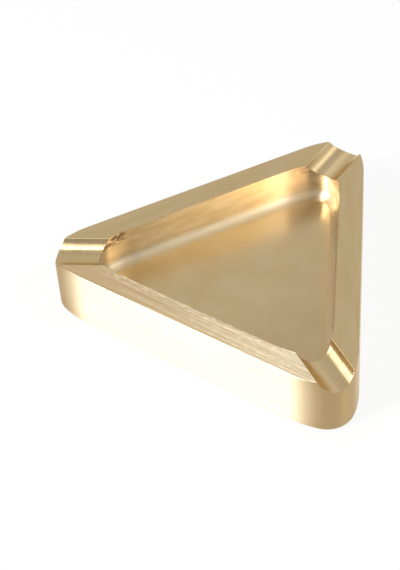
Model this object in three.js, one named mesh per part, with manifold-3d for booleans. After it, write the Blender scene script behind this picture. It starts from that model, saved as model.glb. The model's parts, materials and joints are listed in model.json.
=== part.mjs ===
// A three-cornered ashtray milled from one thick brass plate.
// The brass body has a flat rim, upright outer sides, a deep pocket with a rounded foot
// and three round-bottomed cigarette rests, one through the rim at each corner.
// It stands on three rubber feet, each bonded into a shallow recess by an adhesive disc.
//
// Millimetres, +Z up. The origin is under the middle of the part's outer box, on the table.
// One corner points along -X, and the other two lie at the +X end, at +Y and at -Y.

import * as THREE from 'three';
import { mergeVertices } from 'three/addons/utils/BufferGeometryUtils.js';
import Module from 'manifold-3d';

// Outline of the body
const CENTRE_TO_SIDE = 33.66; // from the triangle's centre square out to each flat side
const TIP_RADIUS = 8.1; // the tight arc at the end of each corner
const SHOULDER_RADIUS = 29.3; // the wider arc that leads from a side into the tip
const SHOULDER_TURN = 16.8; // degrees turned by each shoulder arc
const BODY_HEIGHT = 19.1;
const EDGE_BREAK = 0.3; // small chamfer round the top and the bottom of the outer sides

// Pocket for the ash
const RIM_WIDTH = 7.2; // the flat rim, from the outer side to the pocket's wall
const POCKET_DEPTH = 12.4;
const POCKET_CORNER_RADIUS = 8.7;
const POCKET_FOOT_RADIUS = 3.2; // the round between the pocket's wall and its floor

// Cigarette rests
const REST_RADIUS = 6;
const REST_DEPTH = 3.9; // below the rim

// Feet
const FOOT_INSET = 19.4; // from a corner's tip in to the middle of its foot
const FOOT_RADIUS = 4.75;
const FOOT_HEIGHT = 1.8;
const FOOT_EDGE_RADIUS = 0.5;
const ADHESIVE_RADIUS = 4.5;
const ADHESIVE_THICKNESS = 0.5;
const RECESS_DEPTH = 1.6;
const RECESS_CLEARANCE = 0.5; // round each foot

// How finely the round forms are divided
const TIP_STEPS = 14;
const SHOULDER_STEPS = 5;
const POCKET_CORNER_STEPS = 18;
const POCKET_FOOT_STEPS = 6;
const REST_SEGMENTS = 56;
const FOOT_SEGMENTS = 40;
const FOOT_EDGE_STEPS = 4;

const CUT_MARGIN = 2; // how far a cutting solid runs past the face that it opens

const CORNERS = [
  { name: 'left', direction: Math.PI },
  { name: 'far', direction: Math.PI / 3 },
  { name: 'near', direction: -Math.PI / 3 },
];

const brass = new THREE.MeshStandardMaterial({ color: '#c8a86c', roughness: 0.3, metalness: 1 });
const rubber = new THREE.MeshStandardMaterial({ color: '#1e1e20', roughness: 0.85, metalness: 0 });
const adhesive = new THREE.MeshStandardMaterial({ color: '#e4dfd2', roughness: 0.7, metalness: 0 });

const ceiling = FOOT_HEIGHT + ADHESIVE_THICKNESS; // top of each recess, above the table
const underside = ceiling - RECESS_DEPTH;
const rimTop = underside + BODY_HEIGHT;
const pocketFloor = rimTop - POCKET_DEPTH;
const shoulderTurn = THREE.MathUtils.degToRad(SHOULDER_TURN);
const tipArcReach = tipCentre(CENTRE_TO_SIDE, TIP_RADIUS, SHOULDER_RADIUS, shoulderTurn);
const tipReach = tipArcReach + TIP_RADIUS;
const footReach = tipReach - FOOT_INSET;

const wasm = await Module();
wasm.setup();

// Turns a three.js geometry into a solid for cutting.
function toSolid(geometry) {
  const bare = geometry.clone();
  bare.deleteAttribute('normal');
  bare.deleteAttribute('uv');
  const merged = mergeVertices(bare, 1e-5);
  const mesh = new wasm.Mesh({
    numProp: 3,
    vertProperties: new Float32Array(merged.attributes.position.array),
    triVerts: new Uint32Array(merged.index.array),
  });
  return new wasm.Manifold(mesh);
}

// Turns a cut solid back into a three.js geometry.
function toGeometry(solid) {
  const mesh = solid.getMesh();
  const geometry = new THREE.BufferGeometry();
  geometry.setAttribute('position', new THREE.BufferAttribute(new Float32Array(mesh.vertProperties), 3));
  geometry.setIndex(new THREE.BufferAttribute(new Uint32Array(mesh.triVerts), 1));
  geometry.computeVertexNormals();
  return geometry;
}

// Where the centre of a corner's tip arc lies on the line from the triangle's centre to that corner.
function tipCentre(toSide, tipRadius, shoulderRadius, turn) {
  const step = (shoulderRadius - tipRadius) * Math.cos(turn);
  return 2 * (toSide - shoulderRadius + step);
}

// The body's corner: shoulder arc, tip arc, shoulder arc, as points and outward normals.
function bodyCorner(direction) {
  const tipTurn = Math.PI / 3 - shoulderTurn;
  const points = [];
  const addArc = (from, to, steps, radius, centre, first) => {
    for (let i = first; i <= steps; i += 1) {
      const angle = direction + from + ((to - from) * i) / steps;
      const normal = new THREE.Vector2(Math.cos(angle), Math.sin(angle));
      points.push({ at: normal.clone().multiplyScalar(radius).add(centre), normal });
    }
  };
  const along = (angle, length) => new THREE.Vector2(Math.cos(angle), Math.sin(angle)).multiplyScalar(length);
  const middle = along(direction, tipArcReach);
  const before = middle.clone().sub(along(direction - tipTurn, SHOULDER_RADIUS - TIP_RADIUS));
  const after = middle.clone().sub(along(direction + tipTurn, SHOULDER_RADIUS - TIP_RADIUS));
  addArc(-Math.PI / 3, -tipTurn, SHOULDER_STEPS, SHOULDER_RADIUS, before, 0);
  addArc(-tipTurn, tipTurn, TIP_STEPS, TIP_RADIUS, middle, 1);
  addArc(tipTurn, Math.PI / 3, SHOULDER_STEPS, SHOULDER_RADIUS, after, 1);
  return points;
}

// The pocket's corner: one arc that meets both of its walls.
function pocketCorner(direction) {
  const reach = tipCentre(CENTRE_TO_SIDE - RIM_WIDTH, POCKET_CORNER_RADIUS, POCKET_CORNER_RADIUS, 0);
  const centre = new THREE.Vector2(Math.cos(direction), Math.sin(direction)).multiplyScalar(reach);
  const points = [];
  for (let i = 0; i <= POCKET_CORNER_STEPS; i += 1) {
    const angle = direction + (Math.PI / 3) * ((2 * i) / POCKET_CORNER_STEPS - 1);
    const normal = new THREE.Vector2(Math.cos(angle), Math.sin(angle));
    points.push({ at: normal.clone().multiplyScalar(POCKET_CORNER_RADIUS).add(centre), normal });
  }
  return points;
}

// All round the triangle, anticlockwise seen from above.
function allCorners(makeCorner) {
  return [-Math.PI / 3, Math.PI / 3, Math.PI].flatMap(makeCorner);
}

// A closed solid through level rings of one outline, each ring drawn in by its own amount.
function stackRings(outline, rings) {
  const count = outline.length;
  const positions = [];
  const index = [];
  for (const { z, drawnIn } of rings) {
    for (const { at, normal } of outline) {
      positions.push(at.x - normal.x * drawnIn, at.y - normal.y * drawnIn, z);
    }
  }
  for (let ring = 0; ring + 1 < rings.length; ring += 1) {
    for (let i = 0; i < count; i += 1) {
      const a = ring * count + i;
      const b = ring * count + ((i + 1) % count);
      index.push(a, b, b + count, a, b + count, a + count);
    }
  }
  const top = (rings.length - 1) * count;
  for (let i = 1; i + 1 < count; i += 1) {
    index.push(0, i + 1, i);
    index.push(top, top + i, top + i + 1);
  }
  const geometry = new THREE.BufferGeometry();
  geometry.setAttribute('position', new THREE.Float32BufferAttribute(positions, 3));
  geometry.setIndex(index);
  return geometry;
}

// A round piece about a vertical axis, from a profile of [radius, height] points.
function turned(profile) {
  const geometry = new THREE.LatheGeometry(profile.map(([r, z]) => new THREE.Vector2(r, z)), FOOT_SEGMENTS);
  geometry.rotateX(Math.PI / 2);
  return geometry;
}

function disc(radius, low, high) {
  return turned([[0, low], [radius, low], [radius, high], [0, high]]);
}

function footProfile() {
  const profile = [[0, 0]];
  for (let i = 0; i <= FOOT_EDGE_STEPS; i += 1) {
    const angle = ((Math.PI / 2) * i) / FOOT_EDGE_STEPS;
    const r = FOOT_RADIUS - FOOT_EDGE_RADIUS * (1 - Math.sin(angle));
    profile.push([r, FOOT_EDGE_RADIUS * (1 - Math.cos(angle))]);
  }
  profile.push([FOOT_RADIUS, FOOT_HEIGHT]);
  profile.push([0, FOOT_HEIGHT]);
  return profile;
}

function footPlace(direction) {
  return new THREE.Vector3(Math.cos(direction), Math.sin(direction), 0).multiplyScalar(footReach);
}

// The brass plate before anything is cut into it.
const blank = stackRings(allCorners(bodyCorner), [
  { z: underside, drawnIn: EDGE_BREAK },
  { z: underside + EDGE_BREAK, drawnIn: 0 },
  { z: rimTop - EDGE_BREAK, drawnIn: 0 },
  { z: rimTop, drawnIn: EDGE_BREAK },
]);

// The space of the pocket, rounded where the walls come down to the floor.
const pocketRings = [];
for (let i = 0; i <= POCKET_FOOT_STEPS; i += 1) {
  const angle = ((Math.PI / 2) * i) / POCKET_FOOT_STEPS;
  pocketRings.push({
    z: pocketFloor + POCKET_FOOT_RADIUS * (1 - Math.cos(angle)),
    drawnIn: POCKET_FOOT_RADIUS * (1 - Math.sin(angle)),
  });
}
pocketRings.push({ z: rimTop + CUT_MARGIN, drawnIn: 0 });
const pocket = stackRings(allCorners(pocketCorner), pocketRings);

// The round bar of space that each cigarette rest leaves, from inside the pocket out past the corner.
const restStart = CENTRE_TO_SIDE - RIM_WIDTH;
const restEnd = tipReach + CUT_MARGIN;

function restSpace(direction) {
  const length = restEnd - restStart;
  const geometry = new THREE.CylinderGeometry(REST_RADIUS, REST_RADIUS, length, REST_SEGMENTS);
  geometry.rotateZ(-Math.PI / 2);
  geometry.translate(restStart + length / 2, 0, rimTop - REST_DEPTH + REST_RADIUS);
  geometry.rotateZ(direction);
  return geometry;
}

let bodySolid = toSolid(blank).subtract(toSolid(pocket));
for (const { direction } of CORNERS) {
  const place = footPlace(direction);
  const recess = disc(FOOT_RADIUS + RECESS_CLEARANCE, underside - CUT_MARGIN, ceiling);
  recess.translate(place.x, place.y, 0);
  bodySolid = bodySolid.subtract(toSolid(restSpace(direction)));
  bodySolid = bodySolid.subtract(toSolid(recess));
}

// The triangle's centre stands off the middle of the outer box, toward the flat side at +X.
const tray = new THREE.Group();
tray.position.x = (tipReach - CENTRE_TO_SIDE) / 2;

const body = new THREE.Mesh(toGeometry(bodySolid), brass);
body.name = 'tray_body';
tray.add(body);

for (const { name, direction } of CORNERS) {
  const foot = new THREE.Mesh(turned(footProfile()), rubber);
  foot.name = `foot_${name}`;
  foot.position.copy(footPlace(direction));
  tray.add(foot);

  const bond = new THREE.Mesh(disc(ADHESIVE_RADIUS, FOOT_HEIGHT, ceiling), adhesive);
  bond.name = `adhesive_${name}`;
  bond.position.copy(footPlace(direction));
  tray.add(bond);
}

const group = new THREE.Group();
group.add(tray);

export default group;
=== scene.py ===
# %% [markdown]
# # A triangular brass ashtray
#
# The real thing is milled from one thick brass plate: a flat rim, upright sides, a deep pocket
# for the ash, and a round cigarette rest cut through the rim at each corner. It stands on three
# rubber feet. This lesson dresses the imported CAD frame: the brass is modelled again with fine
# curves and true edge breaks, so that the metal reflects cleanly, and every surface gets the
# finish that the cutter, the file or the abrasive belt left on it.

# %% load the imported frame
import json
import math

import bmesh
import bpy
from mathutils import Matrix, Vector

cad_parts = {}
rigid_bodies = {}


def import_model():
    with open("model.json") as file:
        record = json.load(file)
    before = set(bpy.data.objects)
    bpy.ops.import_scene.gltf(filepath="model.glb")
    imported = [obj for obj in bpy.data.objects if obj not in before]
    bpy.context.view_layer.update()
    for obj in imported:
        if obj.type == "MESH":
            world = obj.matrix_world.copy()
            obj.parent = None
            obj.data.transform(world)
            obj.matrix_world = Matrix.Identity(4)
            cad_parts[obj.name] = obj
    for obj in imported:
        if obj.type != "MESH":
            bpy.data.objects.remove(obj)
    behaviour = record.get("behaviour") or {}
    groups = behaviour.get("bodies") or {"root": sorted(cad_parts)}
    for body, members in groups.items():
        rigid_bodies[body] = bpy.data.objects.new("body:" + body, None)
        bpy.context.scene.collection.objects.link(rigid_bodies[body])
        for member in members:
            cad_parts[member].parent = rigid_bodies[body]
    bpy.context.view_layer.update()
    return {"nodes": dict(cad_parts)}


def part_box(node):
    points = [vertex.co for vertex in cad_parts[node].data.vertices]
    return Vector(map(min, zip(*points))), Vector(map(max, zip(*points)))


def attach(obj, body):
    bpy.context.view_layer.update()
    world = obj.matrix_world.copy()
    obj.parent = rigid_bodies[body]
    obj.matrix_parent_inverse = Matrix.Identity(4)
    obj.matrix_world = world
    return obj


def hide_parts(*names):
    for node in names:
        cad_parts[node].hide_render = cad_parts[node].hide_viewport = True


for leftover in list(bpy.data.objects):
    bpy.data.objects.remove(leftover)
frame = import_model()

# %% [markdown]
# ## Sizes
#
# These repeat the sizes of the CAD part, in metres, because the script reads nothing but the
# frame. The triangle's centre lies off the middle of the outer box, toward the flat side at +X.
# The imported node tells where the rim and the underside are, so they are read, not written again.
# A third and a sixth of a turn come up all the time on a triangle, and places that lie closer
# together than a thousandth of a millimetre count as one, so these get names too.

# %% sizes of the tray
MM = 0.001
TINY = 1e-6
THIRD = math.tau / 3
SIXTH = math.pi / 3
CENTRE_TO_SIDE = 33.66 * MM
TIP_RADIUS = 8.1 * MM
SHOULDER_RADIUS = 29.3 * MM
SHOULDER_TURN = math.radians(16.8)
EDGE_BREAK = 0.3 * MM
RIM_WIDTH = 7.2 * MM
POCKET_DEPTH = 12.4 * MM
POCKET_CORNER_RADIUS = 8.7 * MM
POCKET_FOOT_RADIUS = 3.2 * MM
REST_RADIUS = 6 * MM
REST_DEPTH = 3.9 * MM

body_low, body_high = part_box("tray_body")
UNDERSIDE, RIM_TOP = body_low.z, body_high.z
POCKET_FLOOR = RIM_TOP - POCKET_DEPTH
TO_WALL = CENTRE_TO_SIDE - RIM_WIDTH
CENTRE = Vector((body_high.x - CENTRE_TO_SIDE, 0, 0))
CORNER_TURNS = {"left": math.pi, "far": SIXTH, "near": -SIXTH}
SIDE_TURNS = (0, THIRD, -THIRD)
print(f"rim at {RIM_TOP / MM:.2f} mm, pocket floor at {POCKET_FLOOR / MM:.2f} mm")
print(f"centre of the triangle at x = {CENTRE.x / MM:.2f} mm")

# %% [markdown]
# ## Camera
#
# The camera comes first, so that every later look is judged from the photograph's angle. Its
# turn, height, roll and lens come from fitting the tray's own straight edges, and the picture is
# 400 by 570, so the lens is measured on the tall side.

# %% the photograph's camera
CAMERA_AIM = Vector((-3.01, 1.80, 4.49)) * MM
CAMERA_DISTANCE = 552.15 * MM
CAMERA_TURN, CAMERA_HEIGHT, CAMERA_ROLL = (math.radians(a) for a in (7.87, 45.23, -4.73))
CAMERA_LENS, CAMERA_SENSOR = 115.65, 36
NEAREST_SEEN, FARTHEST_SEEN = 0.01, 20

camera_data = bpy.data.cameras.new("camera")
camera_data.lens = CAMERA_LENS
camera_data.sensor_width = CAMERA_SENSOR
camera_data.clip_start, camera_data.clip_end = NEAREST_SEEN, FARTHEST_SEEN
camera = bpy.data.objects.new("camera", camera_data)
bpy.context.scene.collection.objects.link(camera)
back = Vector((
    math.sin(CAMERA_TURN) * math.cos(CAMERA_HEIGHT),
    -math.cos(CAMERA_TURN) * math.cos(CAMERA_HEIGHT),
    math.sin(CAMERA_HEIGHT),
))
stand = Matrix.Translation(CAMERA_AIM + back * CAMERA_DISTANCE)
level = (-back).to_track_quat("-Z", "Y").to_matrix().to_4x4()
camera.matrix_world = stand @ level @ Matrix.Rotation(CAMERA_ROLL, 4, "Z")
bpy.context.scene.camera = camera
print("camera at", camera.matrix_world.translation)

# %% [markdown]
# ## The brass blank
#
# Before any pocket is cut, the tray is a plate with three rounded corners. Each corner is a tight
# arc between two wider ones, so it is drawn as by hand: one point is spun along the three arcs,
# the corner is copied round the triangle, the gaps are joined by straight sides, and the outline
# is filled and raised. A bevel of a vertex could round a corner too, but only with one radius.
# The two points where the arcs meet are taken out again, because a rest is cut so close to them
# that the filing of its edge would leave slivers.


# %% helpers that draw an outline
def toward(turn, length):
    return Vector((math.cos(turn), math.sin(turn), 0)) * length


def one_point(name, place):
    """A mesh of a single point, left in edit mode with that point selected."""
    bpy.ops.object.select_all(action="DESELECT")
    bpy.ops.mesh.primitive_plane_add(size=MM)
    piece = bpy.context.object
    piece.name = piece.data.name = name
    bpy.ops.object.mode_set(mode="EDIT")
    bpy.ops.mesh.select_mode(type="VERT")
    bpy.ops.mesh.select_all(action="SELECT")
    bpy.ops.mesh.merge(type="CENTER")
    bpy.ops.transform.translate(value=place)
    return piece


def spin_point(middle, turn, steps, axis=(0, 0, 1)):
    """Draws an arc from the selected point, and leaves the arc's end selected."""
    bpy.ops.mesh.spin(steps=steps, angle=-turn, center=middle, axis=axis)


def draw_corner(name, height, reach, radius, steps, shoulder_radius, shoulder_turn, shoulder_steps):
    """Draws the near corner as shoulder, tip and shoulder, and stays in edit mode."""
    near = CORNER_TURNS["near"]
    turn = SIXTH - shoulder_turn
    tip = CENTRE + toward(near, reach) + Vector((0, 0, height))
    before = tip - toward(near - turn, shoulder_radius - radius)
    after = tip - toward(near + turn, shoulder_radius - radius)
    piece = one_point(name, before + toward(near - SIXTH, shoulder_radius))
    spin_point(before, shoulder_turn, shoulder_steps)
    spin_point(tip, 2 * turn, steps)
    spin_point(after, shoulder_turn, shoulder_steps)
    joins = [tip + toward(near + hand * turn, radius) for hand in (-1, 1)]
    return piece, joins


# %% helpers that close and raise it
def select_points(piece, test):
    """Selects the points of the mesh in edit mode that pass the test, and counts them."""
    bpy.ops.mesh.select_mode(type="VERT")
    bpy.ops.mesh.select_all(action="DESELECT")
    mesh = bmesh.from_edit_mesh(piece.data)
    for vert in mesh.verts:
        vert.select_set(test(vert))
    mesh.select_flush_mode()
    bmesh.update_edit_mesh(piece.data)
    return sum(vert.select for vert in mesh.verts)


def copy_round_triangle():
    """Copies the whole mesh in edit mode to the other two corners."""
    bpy.ops.mesh.select_all(action="SELECT")
    for _ in range(2):
        bpy.ops.mesh.duplicate()
        bpy.ops.transform.rotate(value=THIRD, orient_axis="Z", center_override=CENTRE)


def close_triangle(piece):
    """Copies the drawn corner, joins the three by straight sides and fills the outline."""
    copy_round_triangle()
    for side_turn in SIDE_TURNS:
        side = toward(side_turn, 1)
        reach = max((v.co - CENTRE).dot(side) for v in bmesh.from_edit_mesh(piece.data).verts)
        select_points(
            piece,
            lambda v: len(v.link_edges) == 1 and (v.co - CENTRE).dot(side) > reach - TINY,
        )
        bpy.ops.mesh.edge_face_add()
    bpy.ops.mesh.select_all(action="SELECT")
    bpy.ops.mesh.edge_face_add()


def pull(x=0, y=0, z=0):
    """Extrudes what is selected by a straight move."""
    bpy.ops.mesh.extrude_region_move(TRANSFORM_OT_translate={"value": (x, y, z)})


def finish_mesh(piece):
    """Merges doubles, turns the faces outward and leaves edit mode."""
    bpy.ops.mesh.select_all(action="SELECT")
    bpy.ops.mesh.remove_doubles(threshold=TINY / 10)
    bpy.ops.mesh.normals_make_consistent(inside=False)
    bpy.ops.object.mode_set(mode="OBJECT")
    print(piece.name, "has", len(piece.data.polygons), "faces")


# %% draw and raise the blank
TIP_STEPS, SHOULDER_STEPS = 14, 8
tip_drop = (SHOULDER_RADIUS - TIP_RADIUS) * math.cos(SHOULDER_TURN)
tray, joins = draw_corner(
    "tray_brass", height=UNDERSIDE, reach=2 * (CENTRE_TO_SIDE - SHOULDER_RADIUS + tip_drop),
    radius=TIP_RADIUS, steps=TIP_STEPS,
    shoulder_radius=SHOULDER_RADIUS, shoulder_turn=SHOULDER_TURN, shoulder_steps=SHOULDER_STEPS,
)
taken_out = select_points(tray, lambda v: min((v.co - join).length for join in joins) < TINY)
bpy.ops.mesh.dissolve_verts()
close_triangle(tray)
pull(z=RIM_TOP - UNDERSIDE)
finish_mesh(tray)
print("points taken out:", taken_out)
print("blank spans", tray.dimensions / MM, "mm")

# %% [markdown]
# A milled plate never has a knife edge, because the burr is taken off all round. A small round
# on the top and bottom outlines catches the light as a thin bright line, so the two outlines are
# picked by their height and bevelled. Three segments are enough at this size.


# %% break the outer edges
EDGE_STEPS = 3


def select_edges(piece, test):
    """Selects the edges of the mesh in edit mode that pass the test, and counts them."""
    bpy.ops.mesh.select_mode(type="EDGE")
    bpy.ops.mesh.select_all(action="DESELECT")
    mesh = bmesh.from_edit_mesh(piece.data)
    for edge in mesh.edges:
        edge.select_set(test(edge))
    bmesh.update_edit_mesh(piece.data)
    return sum(edge.select for edge in mesh.edges)


def round_edges(radius, steps):
    """Bevels the selected edges."""
    bpy.ops.mesh.bevel(offset=radius, segments=steps, affect="EDGES", clamp_overlap=False)


def select_only(piece):
    """Makes one piece the only one selected, and the active one."""
    bpy.ops.object.select_all(action="DESELECT")
    bpy.context.view_layer.objects.active = piece
    piece.select_set(True)


def edit(piece):
    select_only(piece)
    bpy.ops.object.mode_set(mode="EDIT")


edit(tray)
count = select_edges(tray, lambda e: abs(e.verts[0].co.z - e.verts[1].co.z) < TINY)
round_edges(EDGE_BREAK, EDGE_STEPS)
finish_mesh(tray)
print("rounded", count, "outline edges")

# %% [markdown]
# ## Pocket, rests and foot recesses
#
# On the real tray these are spaces that cutters left, so each is made as a solid of the space and
# taken out of the blank. The pocket's solid is drawn like the blank. In the photograph its corners
# start softly, so each is a tight round between two wide ones, and it ends where the single round
# of the CAD pocket ends. The lower edges are bevelled, which leaves the foot between wall and
# floor.

# %% the space of the pocket
POCKET_STEPS, POCKET_SHOULDER_STEPS, POCKET_FOOT_STEPS = 14, 8, 12
POCKET_SHOULDER_RADIUS = 40 * MM
POCKET_SHOULDER_TURN = math.radians(12)
CUT_MARGIN = 2 * MM
pocket_reach = 2 * (TO_WALL - POCKET_CORNER_RADIUS)
pocket_end = pocket_reach + POCKET_CORNER_RADIUS
lean = math.cos(POCKET_SHOULDER_TURN)
shoulder_drop = POCKET_SHOULDER_RADIUS * (1 - lean)
pocket_tip_radius = (2 * (TO_WALL - shoulder_drop) - pocket_end) / (2 * lean - 1)
pocket, _ = draw_corner(
    "pocket_space", height=POCKET_FLOOR, reach=pocket_end - pocket_tip_radius,
    radius=pocket_tip_radius, steps=POCKET_STEPS, shoulder_radius=POCKET_SHOULDER_RADIUS,
    shoulder_turn=POCKET_SHOULDER_TURN, shoulder_steps=POCKET_SHOULDER_STEPS,
)
close_triangle(pocket)
pull(z=POCKET_DEPTH + CUT_MARGIN)
select_edges(pocket, lambda e: max(v.co.z for v in e.verts) < POCKET_FLOOR + TINY)
round_edges(POCKET_FOOT_RADIUS, POCKET_FOOT_STEPS)
finish_mesh(pocket)
print(f"the pocket's corners end in a round of {pocket_tip_radius / MM:.2f} mm")

# %% [markdown]
# A cigarette rest is a groove from a round-nosed cutter. Its profile starts above the rim, comes
# down to rim level, follows the cutter's round and goes up again. Drawn this way the round begins
# exactly at the rim, which keeps slivers out of the cut. The profile is drawn out along the left
# corner's line and copied to the other two corners.

# %% the space of the rests
REST_STEPS = 14
axis_height = RIM_TOP - REST_DEPTH + REST_RADIUS
half_width = math.sqrt(REST_RADIUS**2 - (axis_height - RIM_TOP) ** 2)
rest_turn = 2 * math.atan2(half_width, axis_height - RIM_TOP)
inner_end = CENTRE.x - TO_WALL
outer_end = body_low.x - CUT_MARGIN
rest = one_point("rest_space", (inner_end, -half_width, RIM_TOP + CUT_MARGIN))
pull(z=-CUT_MARGIN)
spin_point((inner_end, 0, axis_height), rest_turn, REST_STEPS, axis=(1, 0, 0))
pull(z=CUT_MARGIN)
bpy.ops.mesh.select_all(action="SELECT")
bpy.ops.mesh.edge_face_add()
pull(x=outer_end - inner_end)
copy_round_triangle()
finish_mesh(rest)
print(f"rests are {2 * half_width / MM:.2f} mm wide at the rim")

# %% [markdown]
# The underside has a shallow round recess near each corner, with a little play round the foot
# that sits in it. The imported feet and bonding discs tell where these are.


# %% the space of the foot recesses
RECESS_CLEARANCE = 0.5 * MM
RECESS_STEPS = 72
foot_low, foot_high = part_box("foot_left")
foot_middle = (foot_low + foot_high) / 2
foot_radius = (foot_high.x - foot_low.x) / 2
recess_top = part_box("adhesive_left")[1].z


def start_disc(name, height, radius, steps):
    """A flat disc in line with the left foot, left in edit mode and selected."""
    bpy.ops.object.select_all(action="DESELECT")
    bpy.ops.mesh.primitive_circle_add(
        vertices=steps, radius=radius, fill_type="NGON",
        location=(foot_middle.x, foot_middle.y, height),
    )
    piece = bpy.context.object
    piece.name = piece.data.name = name
    bpy.ops.object.transform_apply(location=True, rotation=True, scale=True)
    bpy.ops.object.mode_set(mode="EDIT")
    bpy.ops.mesh.select_all(action="SELECT")
    return piece


recess_bottom = UNDERSIDE - CUT_MARGIN
recess = start_disc("recess_space", recess_bottom, foot_radius + RECESS_CLEARANCE, RECESS_STEPS)
pull(z=recess_top - UNDERSIDE + CUT_MARGIN)
copy_round_triangle()
finish_mesh(recess)

# %% [markdown]
# Now the cuts. A Boolean modifier takes each space out of the brass, and it is applied straight
# away, so that nothing live is left on the piece. The exact solver keeps the flat faces whole.


# %% cut the brass
def cut_out(piece, space):
    select_only(piece)
    cut = piece.modifiers.new("cut", "BOOLEAN")
    cut.operation = "DIFFERENCE"
    cut.solver = "EXACT"
    cut.object = space
    bpy.ops.object.modifier_apply(modifier=cut.name)
    bpy.data.objects.remove(space)


for space in (pocket, rest, recess):
    cut_out(tray, space)
edit(tray)
finish_mesh(tray)

# %% [markdown]
# The cuts leave fresh sharp edges: round the pocket's mouth, along the rests and where each rest
# breaks through a wall. They were only touched with a file, so they get a finer round than the
# outside. Edges that turn by more than forty degrees are rounded by a Bevel modifier. Then the
# faces are shaded smooth up to a small angle, and a Weighted Normal modifier lets the large flat
# faces keep their own direction, so that reflections stay straight on them.

# %% file the cut edges and set the shading
FILE_ROUND, FILE_STEPS = 0.16 * MM, 2
SHARP_ABOVE = math.radians(40)
SMOOTH_BELOW = math.radians(32)
LARGE_FACES_FIRST = 100
rounding = tray.modifiers.new("file", "BEVEL")
rounding.width = FILE_ROUND
rounding.segments = FILE_STEPS
rounding.limit_method = "ANGLE"
rounding.angle_limit = SHARP_ABOVE
rounding.use_clamp_overlap = False
bpy.ops.object.modifier_apply(modifier=rounding.name)
bpy.ops.object.shade_smooth_by_angle(angle=SMOOTH_BELOW)
steady = tray.modifiers.new("steady", "WEIGHTED_NORMAL")
steady.mode = "FACE_AREA"
steady.weight = LARGE_FACES_FIRST
steady.keep_sharp = True
bpy.ops.object.modifier_apply(modifier=steady.name)
print("tray now has", len(tray.data.polygons), "faces")
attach(tray, "root")
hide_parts("tray_body")

# %% [markdown]
# ## Which cutter left which surface
#
# The tray is one piece of brass, but each surface was made by another tool: the rim on a belt,
# the pocket by an end mill, the rests by a round-nosed cutter, their lips with a file. One
# material all over would look cast, so every face is told by its place which tool made it. It
# also gets its grain: a UV map in metres whose first axis runs along the marks and whose second
# axis runs across them. An unwrap would give islands at any angle, so the map is written from
# each corner's own place instead.


# %% find a place on the tray
def turn_of(place):
    return math.atan2(place.y - CENTRE.y, place.x - CENTRE.x) % math.tau


def corner_of(place):
    """The turn of the nearest corner: each holds a third of the tray."""
    return SIXTH + THIRD * int(turn_of(place) // THIRD)


def side_of(place):
    """The turn of the nearest side."""
    return THIRD * (round(turn_of(place) / THIRD) % 3)


def in_line(place, turn):
    """How far a place lies from the centre along a turn, and how far to the left of that line."""
    flat = place - CENTRE
    return flat.dot(toward(turn, 1)), flat.dot(toward(turn + math.pi / 2, 1))


# %% name the surfaces
TOUCH, CLOSE = 0.25 * MM, 0.05 * MM
LEVEL = 0.9
LIP_STEEPEST, LIP_FLATTEST = 0.15, 0.95
FRONT_SIDE = THIRD * 2


def surface_of(middle, normal):
    """Tells from a face's middle and normal which surface it belongs to."""
    along, across = in_line(middle, corner_of(middle))
    depth = in_line(middle, side_of(middle))[0]
    if middle.z < recess_top + TOUCH and (normal.z < -LEVEL or depth < CENTRE_TO_SIDE - TOUCH):
        return "underside"
    if along > pocket_reach:
        past_lip = abs(across) - half_width
        at_lip = abs(past_lip) < TOUCH and middle.z > RIM_TOP - TOUCH
        if at_lip and LIP_STEEPEST < normal.z < LIP_FLATTEST:
            return "lip"
        if past_lip < 0 and math.hypot(across, middle.z - axis_height) < REST_RADIUS + CLOSE:
            return "rest"
    if middle.z > RIM_TOP - CLOSE and normal.z > LEVEL:
        return "front_rim" if side_of(middle) == FRONT_SIDE else "rim"
    if middle.z < POCKET_FLOOR + CLOSE:
        return "floor"
    return "wall" if depth < TO_WALL + TOUCH else "side"


surfaces = ["rim", "front_rim", "wall", "floor", "rest", "lip", "side", "underside"]
found = [surface_of(face.center, face.normal) for face in tray.data.polygons]
print({name: found.count(name) for name in surfaces})

# %% write the grain
OUTER_ROUND = TIP_RADIUS * 1.5
CORNER_TO_SIDE = math.radians(150)


def round_the_tray(place, to_side, radius):
    """Distance round an outline of straight sides and round corners, and the whole way round."""
    turn = corner_of(place)
    arc = radius * SIXTH
    third = 2 * (math.sqrt(3) * (to_side - radius) + arc)
    out = place - CENTRE - toward(turn, 2 * (to_side - radius))
    bend = (math.atan2(out.y, out.x) - turn + math.pi) % math.tau - math.pi
    if abs(bend) > SIXTH:
        hand = math.copysign(1, bend)
        travelled = hand * (arc + out.dot(toward(turn + hand * CORNER_TO_SIDE, 1)))
    else:
        travelled = radius * bend
    return turn / THIRD * third + travelled, 3 * third


def grain_at(surface, place, middle):
    """Along and across the marks, in metres."""
    if surface in ("rim", "front_rim"):
        across, along = in_line(place, side_of(middle))
        return along, across
    if surface == "rest":
        along, across = in_line(place, corner_of(middle))
        return REST_RADIUS * math.atan2(across, axis_height - place.z), along
    if surface in ("floor", "underside"):
        return tuple((place - CENTRE).xy)
    to_side, radius = CENTRE_TO_SIDE, OUTER_ROUND
    if surface == "wall":
        to_side, radius = TO_WALL, POCKET_CORNER_RADIUS
    along, whole = round_the_tray(place, to_side, radius)
    start = round_the_tray(middle, to_side, radius)[0]
    return along - whole * round((along - start) / whole), place.z


grain = tray.data.uv_layers.new(name="grain")
for face, surface in zip(tray.data.polygons, found):
    for loop in face.loop_indices:
        place = tray.data.vertices[tray.data.loops[loop].vertex_index].co
        grain.data[loop].uv = grain_at(surface, place, face.center)
print("grain written on", len(grain.data), "face corners")

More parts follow.
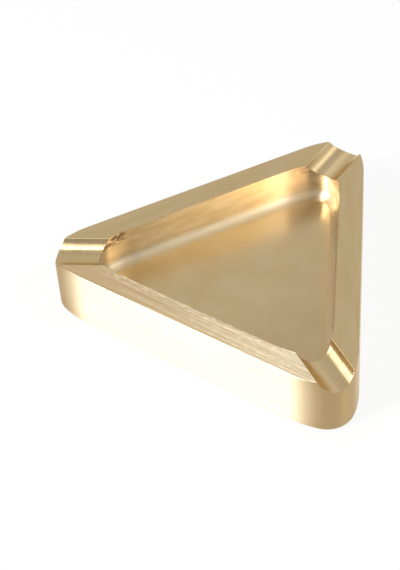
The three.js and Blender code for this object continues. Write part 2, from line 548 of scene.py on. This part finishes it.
# %% [markdown]
# ## Brass
#
# Bare brass has no colour of its own apart from its reflections, so the shader is fully metallic,
# and its base colour tints what it mirrors. The rest is in the marks: noise that is drawn out
# along the grain changes the roughness a little, shifts the tint between a paler and a deeper
# brass, and tilts the surface by a few thousandths of a millimetre. A picture of scratches would
# do it too, but it would repeat, and it would stay at one scale. These helpers keep the node
# trees readable.


# %% helpers for arithmetic in node trees
def feed(tree, socket, value):
    """Sets an input to a number, or links it to the output of another node."""
    if isinstance(value, bpy.types.NodeSocket):
        tree.links.new(value, socket)
    else:
        socket.default_value = value


def add(tree, kind, **settings):
    made = tree.nodes.new("ShaderNode" + kind)
    for name, value in settings.items():
        setattr(made, name, value)
    return made


def calc(tree, operation, *values):
    """One step of arithmetic."""
    step = add(tree, "Math", operation=operation)
    for socket, value in zip(step.inputs, values):
        feed(tree, socket, value)
    return step.outputs[0]


def repeated(operation):
    """The same step of arithmetic over any number of values."""

    def over_all(tree, first, *others):
        for value in others:
            first = calc(tree, operation, first, value)
        return first

    return over_all


total, difference, product = (repeated(name) for name in ("ADD", "SUBTRACT", "MULTIPLY"))
highest, lowest = repeated("MAXIMUM"), repeated("MINIMUM")


# %% helpers for masks
def spread(tree, value, first, last, start=0.3, end=0.7):
    """Goes from first to last while the value goes from start to end."""
    step = add(tree, "MapRange", clamp=True)
    window = {"From Min": start, "From Max": end, "To Min": first, "To Max": last}
    for name, number in window.items():
        step.inputs[name].default_value = number
    feed(tree, step.inputs["Value"], value)
    return step.outputs["Result"]


def rising(tree, value, begins, whole):
    """A mask that goes from 0 where it begins to 1 where it is whole."""
    return spread(tree, value, 0, 1, begins, whole)


def falling(tree, value, whole, ends):
    """A mask that goes from 1 where it is still whole to 0 where it ends."""
    return spread(tree, value, 1, 0, whole, ends)


def split(tree, vector):
    """The three parts of a vector, by name."""
    parts = add(tree, "SeparateXYZ")
    feed(tree, parts.inputs["Vector"], vector)
    return parts.outputs


def object_place(tree):
    return add(tree, "TexCoord").outputs["Object"]


def distance_from(tree, place, point):
    """How far a place lies from a fixed point."""
    step = add(tree, "VectorMath", operation="DISTANCE")
    feed(tree, step.inputs[0], place)
    step.inputs[1].default_value = point
    return step.outputs["Value"]


# %% helpers for finishes
PALE_BRASS = (0.82, 0.64, 0.37, 1)
DEEP_BRASS = (0.77, 0.57, 0.29, 1)


def new_finish(name, metallic=0):
    """A material with its node tree and its shader."""
    finish = bpy.data.materials.new(name)
    finish.use_nodes = True
    shader = finish.node_tree.nodes["Principled BSDF"]
    shader.inputs["Metallic"].default_value = metallic
    return finish, finish.node_tree, shader


def brass(name):
    return new_finish(name, metallic=1)


def grain_map(tree):
    return add(tree, "UVMap", uv_map="grain").outputs["UV"]


def marks(tree, place, along, across, detail=3.0, offset=0.0):
    """Noise drawn out along the grain: marks of a given length and width in metres.

    Each offset gives other marks.
    """
    stretch = add(tree, "Mapping")
    stretch.inputs["Scale"].default_value = (1 / along, 1 / across, 1)
    stretch.inputs["Location"].default_value = (offset, offset, 0)
    feed(tree, stretch.inputs["Vector"], place)
    noise = add(tree, "TexNoise", noise_dimensions="2D")
    noise.inputs["Scale"].default_value = 1
    noise.inputs["Detail"].default_value = detail
    feed(tree, noise.inputs["Vector"], stretch.outputs["Vector"])
    return noise.outputs["Fac"]


def mixed(tree, factor, none, full):
    """A colour between two others, each given as a colour or as the output of a node."""
    mix = add(tree, "Mix", data_type="RGBA", clamp_factor=True)
    for name, value in (("Factor", factor), ("A", none), ("B", full)):
        feed(tree, mix.inputs[name], value)
    return mix.outputs["Result"]


def relief(tree, shader, height, depth):
    """Bump whose height runs from 0 to 1 over a depth in metres."""
    bump = add(tree, "Bump")
    bump.inputs["Strength"].default_value = 1
    bump.inputs["Distance"].default_value = depth
    feed(tree, bump.inputs["Height"], height)
    feed(tree, shader.inputs["Normal"], bump.outputs["Normal"])


def dress(tree, shader, colour, roughness):
    """Gives the shader its colour and its roughness."""
    feed(tree, shader.inputs["Base Color"], colour)
    feed(tree, shader.inputs["Roughness"], roughness)


# %% [markdown]
# ### Rim
#
# The far and the right rims came off a fine abrasive belt. All that is left is a satin of lines
# along each side, too fine to be seen one by one at this distance. Strong lines would turn to
# noise, so they hardly change the roughness, and slow clouds of tint do the rest.

# %% rim
BELT_ROUGHNESS = 0.26, 0.29
BELT_TINT = 0.15
rim_brass, tree, shader = brass("rim_brass")
grain_place = grain_map(tree)
belt = marks(tree, grain_place, along=30 * MM, across=0.5 * MM)
slow = marks(tree, grain_place, along=18 * MM, across=2.4 * MM, offset=7)
cloudy = total(tree, product(tree, belt, BELT_TINT), slow)
tint = mixed(tree, rising(tree, cloudy, begins=0.4, whole=0.9), DEEP_BRASS, PALE_BRASS)
dress(tree, shader, tint, spread(tree, belt, *BELT_ROUGHNESS))
print("rim:", len(tree.nodes), "nodes")

# %% [markdown]
# ### Front rim
#
# The front rim was dressed by hand: long file strokes, a strip next to the pocket that is worn
# pale, and nicks with painted glints in that strip. Painted light makes the right-hand end paler.
# Lines this close together spread a reflection across themselves and keep it sharp along them.
# Bump could only do that with lines finer than a pixel, so the shader is made anisotropic
# instead, with its tangent read from the grain.

# %% front rim
QUARTER_TURN = 0.25
FILED_PALE, FILED_DEEP = (0.83, 0.71, 0.50, 1), (0.61, 0.45, 0.25, 1)
FILED_ROUGHNESS = 0.34, 0.44
FILED_DRAWN = 0.9


def draw_out(tree, shader, share):
    """Spreads reflections across the grain and keeps them sharp along it."""
    shader.inputs["Anisotropic"].default_value = share
    shader.inputs["Anisotropic Rotation"].default_value = QUARTER_TURN
    drawn = add(tree, "Tangent", direction_type="UV_MAP", uv_map="grain")
    feed(tree, shader.inputs["Tangent"], drawn.outputs["Tangent"])


front_rim_brass, tree, shader = brass("front_rim_brass")
draw_out(tree, shader, FILED_DRAWN)
grain_place = grain_map(tree)
filed = marks(tree, grain_place, along=34 * MM, across=0.5 * MM, detail=4)
slow = marks(tree, grain_place, along=40 * MM, across=1.6 * MM, offset=5)
print("file strokes:", len(tree.nodes), "nodes")

# %% wear, painted glints and painted light on the front rim
HALF_SIDE = 34 * MM
NICK_GLINTS_AT_RIGHT = 0.7
FILED_RELIEF = 18e-6
grain_parts = split(tree, grain_place)
from_pocket = difference(tree, grain_parts["Y"], TO_WALL)
worn = falling(tree, from_pocket, whole=1.2 * MM, ends=3.4 * MM)
# painted light: the filed strokes grow paler toward the right-hand end
painted_light_to_right = rising(tree, grain_parts["X"], begins=-HALF_SIDE, whole=HALF_SIDE)
# the nicks' pale tint is a painted glint; their bump is real relief
nicks_and_glints = marks(tree, grain_place, along=2.6 * MM, across=0.55 * MM, offset=11)
nicks_and_glints = rising(tree, nicks_and_glints, begins=0.52, whole=0.66)
nick_and_glint_band = highest(tree, worn, product(tree, painted_light_to_right, NICK_GLINTS_AT_RIGHT))
nicks_and_glints = product(tree, nicks_and_glints, nick_and_glint_band)
pale_shares = ((filed, 0.8), (slow, 0.3), (worn, 0.12), (nicks_and_glints, 0.6), (painted_light_to_right, 0.6))
pale = total(tree, *(product(tree, value, share) for value, share in pale_shares))
tint = mixed(tree, rising(tree, pale, begins=0.7, whole=1.5), FILED_DEEP, FILED_PALE)
dress(tree, shader, tint, spread(tree, filed, *FILED_ROUGHNESS))
relief(tree, shader, total(tree, filed, nicks_and_glints), FILED_RELIEF)
print("front rim:", len(tree.nodes), "nodes")

# %% [markdown]
# ### Pocket wall
#
# An end mill goes round the pocket and leaves level lines on its wall, which draw every
# reflection out into an upright streak. Masks for all that follows come from the height in the
# grain and from the place on the tray, so nothing is painted by hand.

# %% wall: lines from the mill
WALL_PALE, WALL_DEEP = (0.96, 0.84, 0.64, 1), (0.79, 0.64, 0.43, 1)
WALL_DRAWN = 0.85
LINE_TINT = 0.8
wall_brass, tree, shader = brass("wall_brass")
draw_out(tree, shader, WALL_DRAWN)
grain_place = grain_map(tree)
lines = marks(tree, grain_place, along=9 * MM, across=0.7 * MM, detail=4)
cloud = marks(tree, grain_place, along=9 * MM, across=2.2 * MM, offset=3)
pale = total(tree, product(tree, lines, LINE_TINT), cloud)
milled = mixed(tree, rising(tree, pale, begins=0.6, whole=1.2), WALL_DEEP, WALL_PALE)
print("milled wall:", len(tree.nodes), "nodes")

# %% [markdown]
# Toward the right a part of the wall is painted paler: a painted sheen that pales the right key's
# reflection there. The nose of the mill leaves the rounded foot a little rougher, and its paler
# tint, kept off the right wall, is a painted highlight. Where the foot comes down to the floor it
# takes over the floor's tint and gets rougher still. Without that, the join of the two finishes
# would show as a hard line.

# %% wall: painted sheen and foot
SHEEN_TINT, FOOT_SHEEN = (0.95, 0.86, 0.79, 1), (0.98, 0.89, 0.66, 1)
SHEEN_SHARE, FOOT_SHEEN_SHARE = 0.8, 0.75
WALL_ROUGHNESS = 0.31, 0.39
FOOT_ROUGHER = 0.08
JOIN_ROUGHER = 1.4
seat = object_place(tree)
seat_parts = split(tree, seat)
height = split(tree, grain_place)["Y"]
# painted sheen: a paler tint on the right part of the wall, where the right key's reflection falls
sheen_from = rising(tree, seat_parts["X"], begins=14 * MM, whole=21 * MM)
sheen_to = falling(tree, seat_parts["X"], whole=27 * MM, ends=31 * MM)
above_join = rising(tree, height, begins=POCKET_FLOOR, whole=POCKET_FLOOR + 1.4 * MM)
low_down = falling(tree, height, whole=POCKET_FLOOR + 1 * MM, ends=POCKET_FLOOR + 3.6 * MM)
off_right_wall = falling(tree, seat_parts["X"], whole=32 * MM, ends=36 * MM)
foot_mask = product(tree, low_down, above_join, off_right_wall)
base_tint = mixed(tree, product(tree, sheen_from, sheen_to, SHEEN_SHARE), milled, SHEEN_TINT)
# painted highlight: the foot's paler tint, kept off the right wall; its extra roughness is real
base_tint = mixed(tree, product(tree, foot_mask, FOOT_SHEEN_SHARE), base_tint, FOOT_SHEEN)
base_tint = mixed(tree, above_join, PALE_BRASS, base_tint)
foot_dull = product(tree, foot_mask, FOOT_ROUGHER)
join_dull = spread(tree, above_join, JOIN_ROUGHER, 1, start=0, end=1)
wall_dull = total(tree, spread(tree, lines, *WALL_ROUGHNESS), foot_dull)
wall_dull = product(tree, wall_dull, join_dull)
print("wall with its foot:", len(tree.nodes), "nodes")

# %% [markdown]
# In the corners the cutter is buried deeper and chatters, so the metal is scratched there. The
# corners are also darkened by painted shade, most of all on the left. Close to the rim, on the far
# half of the left corner, it has torn out dark chips.

# %% wall: where the mill chattered, and painted shade in the corners
DARK_BRASS, TORN_BRASS = (0.34, 0.23, 0.12, 1), (0.23, 0.145, 0.085, 1)
CORNER_SHADE, LEFT_CORNER_SHADE, SCRATCH_STAIN = 0.18, 0.35, 0.3
RIGHT_SHARE, NEAR_SHARE = 0.3, 0.2
WALL_RELIEF, CHATTER_DEPTH = 12e-6, 2
outward = distance_from(tree, seat, CENTRE + Vector((0, 0, RIM_TOP)))
in_corner = rising(tree, outward, begins=36 * MM, whole=40 * MM)
left_end = spread(tree, seat_parts["X"], 1, RIGHT_SHARE, start=-18 * MM, end=0)
far_half = spread(tree, seat_parts["Y"], NEAR_SHARE, 1, start=-2 * MM, end=2 * MM)
scratches = marks(tree, grain_place, along=8 * MM, across=0.8 * MM, offset=13)
scratches = spread(tree, scratches, 0, SCRATCH_STAIN, start=0.48, end=0.62)
scratches = product(tree, scratches, in_corner)
chips = marks(tree, grain_place, along=2.8 * MM, across=0.8 * MM, offset=9)
chips = product(
    tree,
    rising(tree, chips, begins=0.41, whole=0.52),
    rising(tree, height, begins=RIM_TOP - 4.6 * MM, whole=RIM_TOP - 2.4 * MM),
    rising(tree, outward, begins=37.5 * MM, whole=39.5 * MM),
    left_end,
    far_half,
)
chatter = highest(tree, chips, scratches)
# painted shade: the brass is darkened in the corners, most on the left; scratches and chips are
# real marks
left_corner_shade = product(tree, in_corner, left_end, LEFT_CORNER_SHADE)
shade_and_chatter = highest(tree, product(tree, in_corner, CORNER_SHADE), left_corner_shade, chatter)
worked = mixed(tree, shade_and_chatter, base_tint, DARK_BRASS)
dress(tree, shader, mixed(tree, chips, worked, TORN_BRASS), wall_dull)
cut_height = difference(tree, lines, product(tree, chatter, CHATTER_DEPTH))
relief(tree, shader, cut_height, WALL_RELIEF)
print("whole wall:", len(tree.nodes), "nodes")

# %% [markdown]
# ### Pocket floor
#
# The same mill clears the floor in passes along the three sides. Each pass leaves faint arcs of
# the cutter's own radius. Where the passes of two sides meet, a paler seam is a painted highlight:
# the streak of sheen that the arcs catch there. The arcs are worked out like the cutter's path: how
# far along the nearest side it has come, and how far the round of the cutter trails behind at this
# place in its pass. Rings round one point would be easier, but they would look turned on a lathe.

# %% floor: the cutter's path
CUTTER_RADIUS = 12 * MM
STEP_OVER = 19 * MM
floor_brass, tree, shader = brass("floor_brass")
floor_place = grain_map(tree)


def how_far(turn):
    """How far a place on the floor lies from the centre along a turn."""
    dot = add(tree, "VectorMath", operation="DOT_PRODUCT")
    feed(tree, dot.inputs[0], floor_place)
    dot.inputs[1].default_value = toward(turn, 1)
    return dot.outputs["Value"]


reaches = [how_far(turn) for turn in SIDE_TURNS]
nearest = highest(tree, *reaches)
travel = 0.0
for turn, reach in zip(SIDE_TURNS, reaches):
    chosen = calc(tree, "GREATER_THAN", reach, difference(tree, nearest, TINY))
    travel = total(tree, travel, product(tree, chosen, how_far(turn + math.pi / 2)))
passes = calc(tree, "DIVIDE", difference(tree, TO_WALL, nearest), STEP_OVER)
off_middle = product(tree, difference(tree, calc(tree, "FRACT", passes), 0.5), STEP_OVER)
square = difference(tree, CUTTER_RADIUS**2, product(tree, off_middle, off_middle))
trail = calc(tree, "SQRT", square)
print("cutter's path:", len(tree.nodes), "nodes")

# %% [markdown]
# A place's reaches toward the three sides always add up to nothing. So the second reach follows
# from the largest and the smallest, and the seam's painted highlight lies where it equals the
# largest. Ash has stained the floor a little toward the near corner, and the floor is rougher
# beside the foot, like the foot itself.

# %% floor: arcs, painted seam highlights and ash
ARC_SPACING, ARC_WANDER = 1.4 * MM, 9
ARC_TINT, SEAM_SHEEN = 0.22, 0.35
ARC_DEPTHS = 0.1, 0.5
FLOOR_ROUGHNESS = 0.29, 0.31
JOIN_WIDTH, JOIN_DULL = 2.4 * MM, 0.14
ASHY_BRASS, ASHY_SHARE = (0.62, 0.47, 0.26, 1), 0.5
ASHY_TURN = math.radians(-38)
cloud = marks(tree, floor_place, along=9 * MM, across=9 * MM, offset=2)
depth = marks(tree, floor_place, along=7 * MM, across=7 * MM, offset=6)
depth = spread(tree, depth, *ARC_DEPTHS)
turns = product(tree, total(tree, travel, trail), math.tau / ARC_SPACING)
turns = total(tree, turns, product(tree, cloud, ARC_WANDER))
arcs = product(tree, calc(tree, "SINE", turns), depth)
second = difference(tree, 0.0, total(tree, nearest, lowest(tree, *reaches)))
# painted highlight: a paler tint along the seams, standing for the streak of sheen the arcs throw
seam_sheen = spread(tree, difference(tree, nearest, second), SEAM_SHEEN, 0, start=0, end=1.6 * MM)
pale = total(tree, product(tree, arcs, ARC_TINT), cloud, product(tree, seam_sheen, depth))
base_tint = mixed(tree, rising(tree, pale, begins=0.2, whole=0.8), DEEP_BRASS, PALE_BRASS)
ashy = spread(tree, how_far(ASHY_TURN), 0, ASHY_SHARE, start=4 * MM, end=26 * MM)
foot_line = TO_WALL - POCKET_FOOT_RADIUS
beside_foot = spread(tree, nearest, 0, JOIN_DULL, start=foot_line - JOIN_WIDTH, end=foot_line)
dull = total(tree, spread(tree, arcs, *FLOOR_ROUGHNESS, start=-0.5, end=0.5), beside_foot)
dress(tree, shader, mixed(tree, ashy, base_tint, ASHY_BRASS), dull)
print("floor:", len(tree.nodes), "nodes")

# %% [markdown]
# ### Rests
#
# A round-nosed cutter leaves fine rings round each groove. They are the brightest cut on the tray.
# Rings spread a reflection along the groove and keep it sharp across, so a lamp far off to one
# side still draws a white stripe from end to end. The shader is therefore strongly anisotropic.
# The lips of each groove were only touched with a file. That leaves them dull, so they show as
# thin soft lines and don't sparkle.

# %% rests
RING_ROUGHNESS = 0.28, 0.33
RING_DRAWN = 0.95
RING_RELIEF = 0.15e-6
rest_brass, tree, shader = brass("rest_brass")
draw_out(tree, shader, RING_DRAWN)
rings = marks(tree, grain_map(tree), along=9 * MM, across=0.45 * MM)
tint = mixed(tree, spread(tree, rings, 0, 1), DEEP_BRASS, PALE_BRASS)
dress(tree, shader, tint, spread(tree, rings, *RING_ROUGHNESS))
relief(tree, shader, rings, RING_RELIEF)
print("rests:", len(tree.nodes), "nodes")

# %% lips of the rests
LIP_ROUGHNESS = 0.52, 0.60
lip_brass, tree, shader = brass("lip_brass")
strokes = marks(tree, grain_map(tree), along=6 * MM, across=1.2 * MM, offset=4)
tint = mixed(tree, spread(tree, strokes, 0, 1), DEEP_BRASS, PALE_BRASS)
dress(tree, shader, tint, spread(tree, strokes, *LIP_ROUGHNESS))
print("lips of the rests:", len(tree.nodes), "nodes")

# %% [markdown]
# ### Outer sides and underside
#
# The outside was brushed lengthwise, and it is the palest brass on the tray. The brushing draws a
# lamp out into a broad upright gleam. The corners get a painted dark reflection, the shadowed
# table they would mirror. The underside isn't seen in use and gets the same brushing.

# %% outer sides
SIDE_PALE, SIDE_DEEP = (0.93, 0.80, 0.58, 1), (0.89, 0.75, 0.52, 1)
SIDE_ROUGHNESS = 0.42, 0.45
SIDE_DRAWN = 0.9
SIDE_RELIEF = 0.7e-6
DARK_CORNER_REFLECTION, DARK_CORNER_REFLECTION_SHARE = (0.55, 0.38, 0.17, 1), 0.9
side_brass, tree, shader = brass("side_brass")
draw_out(tree, shader, SIDE_DRAWN)
brushed = marks(tree, grain_map(tree), along=30 * MM, across=0.6 * MM)
half_way_up = Vector((0, 0, (UNDERSIDE + RIM_TOP) / 2))
outward = distance_from(tree, object_place(tree), CENTRE + half_way_up)
# painted reflection: the outer corners are darkened to stand for the shadowed table they mirror
dark_corner_reflection = spread(tree, outward, 0, DARK_CORNER_REFLECTION_SHARE, start=49 * MM, end=56 * MM)
base_tint = mixed(tree, spread(tree, brushed, 0, 1), SIDE_DEEP, SIDE_PALE)
tint = mixed(tree, dark_corner_reflection, base_tint, DARK_CORNER_REFLECTION)
dress(tree, shader, tint, spread(tree, brushed, *SIDE_ROUGHNESS))
relief(tree, shader, brushed, SIDE_RELIEF)
print("outer sides:", len(tree.nodes), "nodes")

# %% put the finishes on
finishes = {
    "rim": rim_brass, "front_rim": front_rim_brass, "wall": wall_brass, "floor": floor_brass,
    "rest": rest_brass, "lip": lip_brass, "side": side_brass, "underside": side_brass,
}
tray.data.materials.clear()
for surface in surfaces:
    tray.data.materials.append(finishes[surface])
for face, surface in zip(tray.data.polygons, found):
    face.material_index = surfaces.index(surface)
print("finishes on the tray:", [finish.name for finish in tray.data.materials])

# %% [markdown]
# ## Rubber feet
#
# Each foot is a short moulded plug. The CAD foot is a plain turned form, so it is modelled once
# more, with a softer lower edge and a groove round the sole for grip. It starts as a disc at the
# top of the left foot, is drawn down to the table, and the sole is inset four times: flat, down
# into the groove, along its bottom and up again. The finished foot is copied to the other two
# places, and each copy gets its own mesh.

# %% model one foot
FOOT_STEPS, FOOT_EDGE_STEPS = 64, 5
FOOT_EDGE_RADIUS = 0.5 * MM
FOOT_SMOOTH_BELOW = math.radians(30)
SOLE_INSETS = ((1.1, 0), (0.3, -0.25), (0.45, 0), (0.3, 0.25))
foot = start_disc("rubber_foot_left", foot_high.z, foot_radius, FOOT_STEPS)
pull(z=foot_low.z - foot_high.z)
bpy.ops.mesh.select_all(action="SELECT")
bpy.ops.mesh.normals_make_consistent(inside=False)
select_edges(foot, lambda e: max(v.co.z for v in e.verts) < foot_low.z + TINY)
round_edges(FOOT_EDGE_RADIUS, FOOT_EDGE_STEPS)
select_points(foot, lambda v: v.co.z < foot_low.z + TINY)
bpy.ops.mesh.select_mode(type="FACE")
for width, push in SOLE_INSETS:
    bpy.ops.mesh.inset(thickness=width * MM, depth=push * MM)
finish_mesh(foot)
bpy.ops.object.shade_smooth_by_angle(angle=FOOT_SMOOTH_BELOW)

# %% [markdown]
# Black rubber is never quite black: moulding leaves a faint mottle, and dust from the table
# lightens the sole. Noise in Object coordinates gives both, with a fine grain in the bump, since
# the foot has no direction of its own that a grain map could follow.

# %% rubber
RUBBER, DUSTY_RUBBER = (0.105, 0.105, 0.110, 1), (0.19, 0.185, 0.175, 1)
RUBBER_ROUGHNESS = 0.72, 0.90
RUBBER_RELIEF = 20e-6
DUST_ON_SOLE, DUST_ABOVE = 0.55, 0.1


def mottle(tree, place, size, detail=3.0):
    """Even noise of a given size in metres."""
    noise = add(tree, "TexNoise")
    noise.inputs["Scale"].default_value = 1 / size
    noise.inputs["Detail"].default_value = detail
    feed(tree, noise.inputs["Vector"], place)
    return noise.outputs["Fac"]


black_rubber, tree, shader = new_finish("black_rubber")
seat = object_place(tree)
grit = mottle(tree, seat, 0.35 * MM)
height = split(tree, seat)["Z"]
near_table = spread(tree, height, DUST_ON_SOLE, DUST_ABOVE, start=0, end=0.5 * MM)
dust = product(tree, spread(tree, mottle(tree, seat, 1.6 * MM), 0, 1), near_table)
tint = mixed(tree, dust, RUBBER, DUSTY_RUBBER)
dress(tree, shader, tint, spread(tree, grit, *RUBBER_ROUGHNESS))
relief(tree, shader, grit, RUBBER_RELIEF)
foot.data.materials.append(black_rubber)
print("rubber:", len(tree.nodes), "nodes")

# %% copy the foot to its three places
feet = {"left": foot}
for corner in ("far", "near"):
    low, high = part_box(f"foot_{corner}")
    select_only(foot)
    bpy.ops.object.duplicate()
    copy = bpy.context.object
    copy.name = copy.data.name = f"rubber_foot_{corner}"
    bpy.ops.object.mode_set(mode="EDIT")
    bpy.ops.mesh.select_all(action="SELECT")
    bpy.ops.transform.translate(value=(low + high) / 2 - foot_middle)
    bpy.ops.object.mode_set(mode="OBJECT")
    feet[corner] = copy
for corner, piece in feet.items():
    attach(piece, "root")
    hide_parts(f"foot_{corner}")
print("feet:", [piece.name for piece in feet.values()])

# %% [markdown]
# ## Bonding discs
#
# Each foot is stuck into its recess by a disc of double-sided tape. The CAD disc already has the
# right shape and hardly shows, so it stays, and only its material is replaced: an off-white foam
# with small bubbles and a faint mottle.

# %% bonding discs
TAPE, TAPE_SHADE = (0.89, 0.87, 0.82, 1), (0.80, 0.77, 0.70, 1)
TAPE_ROUGHNESS = 0.62, 0.78
TAPE_RELIEF = 15e-6
bonding_foam, tree, shader = new_finish("bonding_foam")
seat = object_place(tree)
bubbles = mottle(tree, seat, 0.25 * MM, detail=2)
shade = spread(tree, mottle(tree, seat, 1.8 * MM), 0, 1)
tint = mixed(tree, shade, TAPE_SHADE, TAPE)
dress(tree, shader, tint, spread(tree, bubbles, *TAPE_ROUGHNESS))
relief(tree, shader, bubbles, TAPE_RELIEF)
for corner in CORNER_TURNS:
    frame["nodes"][f"adhesive_{corner}"].material_slots[0].material = bonding_foam
print("bonding discs:", [f"adhesive_{corner}" for corner in CORNER_TURNS])

# %% [markdown]
# ## Stage
#
# The tray stands on white paper. A camera ray sees the paper almost as pure white, and so do
# mirrored rays, so that the brass shows the same white table. A small share stays a plain matt
# surface, which keeps the tray's shadow. More light would make the paper white too, but it would
# burn out the brass.

# %% white paper
PAPER = (0.9, 0.9, 0.9, 1)
PAPER_SIZE = 8
WHITE_SHARE = 0.88
UNDER_FEET = 0.02 * MM
bpy.ops.object.select_all(action="DESELECT")
bpy.ops.mesh.primitive_plane_add(size=PAPER_SIZE, location=(0, 0, -UNDER_FEET))
table = bpy.context.object
table.name = table.data.name = "table"
white_paper, tree, _ = new_finish("white_paper")
tree.nodes.clear()
lit = add(tree, "BsdfDiffuse")
lit.inputs["Color"].default_value = PAPER
white = add(tree, "Emission")
white.inputs["Strength"].default_value = 1
ray = add(tree, "LightPath").outputs
seen = highest(tree, ray["Is Camera Ray"], ray["Is Glossy Ray"], ray["Is Transmission Ray"])
blend = add(tree, "MixShader")
feed(tree, blend.inputs["Fac"], product(tree, seen, WHITE_SHARE))
feed(tree, blend.inputs[1], lit.outputs[0])
feed(tree, blend.inputs[2], white.outputs[0])
feed(tree, add(tree, "OutputMaterial").inputs["Surface"], blend.outputs[0])
table.data.materials.append(white_paper)
print("table stands at", table.location.z)

# %% [markdown]
# ## Room and lamps
#
# Polished metal shows its surroundings, so the room is modelled as light: white walls behind the
# tray and a dimmer room on the camera's side, where the far wall of the pocket looks. That
# contrast is what makes the pocket read as a hollow.

# %% room
WHITE_ROOM, DIM_ROOM = 0.60, 0.38
world = bpy.data.worlds.new("studio")
bpy.context.scene.world = world
world.use_nodes = True
tree = world.node_tree
room = tree.nodes["Background"]
room.inputs["Color"].default_value = (1, 1, 1, 1)
front_to_back = split(tree, add(tree, "TexCoord").outputs["Generated"])["Y"]
strength = spread(tree, front_to_back, DIM_ROOM, WHITE_ROOM, start=-0.6, end=0.3)
feed(tree, room.inputs["Strength"], strength)
bpy.context.scene.view_settings.view_transform = "Standard"
print("room goes from", DIM_ROOM, "in front to", WHITE_ROOM, "behind")

# %% [markdown]
# Four soft lamps stand a metre off. The left key gives the front side its gleam and lights the
# far corner. The right key warms the far wall and the rounded foot. A weak fill picks out the far
# rest, and a tall strip beside the left key is mirrored in the left rest as a white stripe. It
# stands on that side so that the room stays dim in front, which keeps the brown shade in the far
# corner whole.

# %% lamps
LAMP_DISTANCE = 1.0


def softbox(name, turn, height, width, tall, watts):
    """A soft lamp that faces the tray, placed by its compass turn and its height in degrees."""
    turn, height = math.radians(turn), math.radians(height)
    flat = math.cos(height)
    back = Vector((math.cos(turn) * flat, math.sin(turn) * flat, math.sin(height)))
    lamp = bpy.data.lights.new(name, "AREA")
    lamp.shape = "RECTANGLE"
    lamp.size, lamp.size_y = width, tall
    lamp.energy = watts
    holder = bpy.data.objects.new(name, lamp)
    stand = Matrix.Translation(CENTRE + back * LAMP_DISTANCE)
    holder.matrix_world = stand @ back.to_track_quat("Z", "Y").to_matrix().to_4x4()
    bpy.context.scene.collection.objects.link(holder)
    radiance = watts / (math.pi * width * tall)
    print(name, "gives", round(radiance, 2), "W per square metre and steradian")


softbox("left_key", turn=-149, height=26, width=0.34, tall=0.34, watts=5.5)
softbox("right_key", turn=-19, height=42, width=0.34, tall=0.38, watts=1.7)
softbox("side_fill", turn=16, height=24, width=0.55, tall=0.60, watts=0.45)
softbox("left_strip", turn=-142, height=42, width=0.08, tall=0.28, watts=4.0)
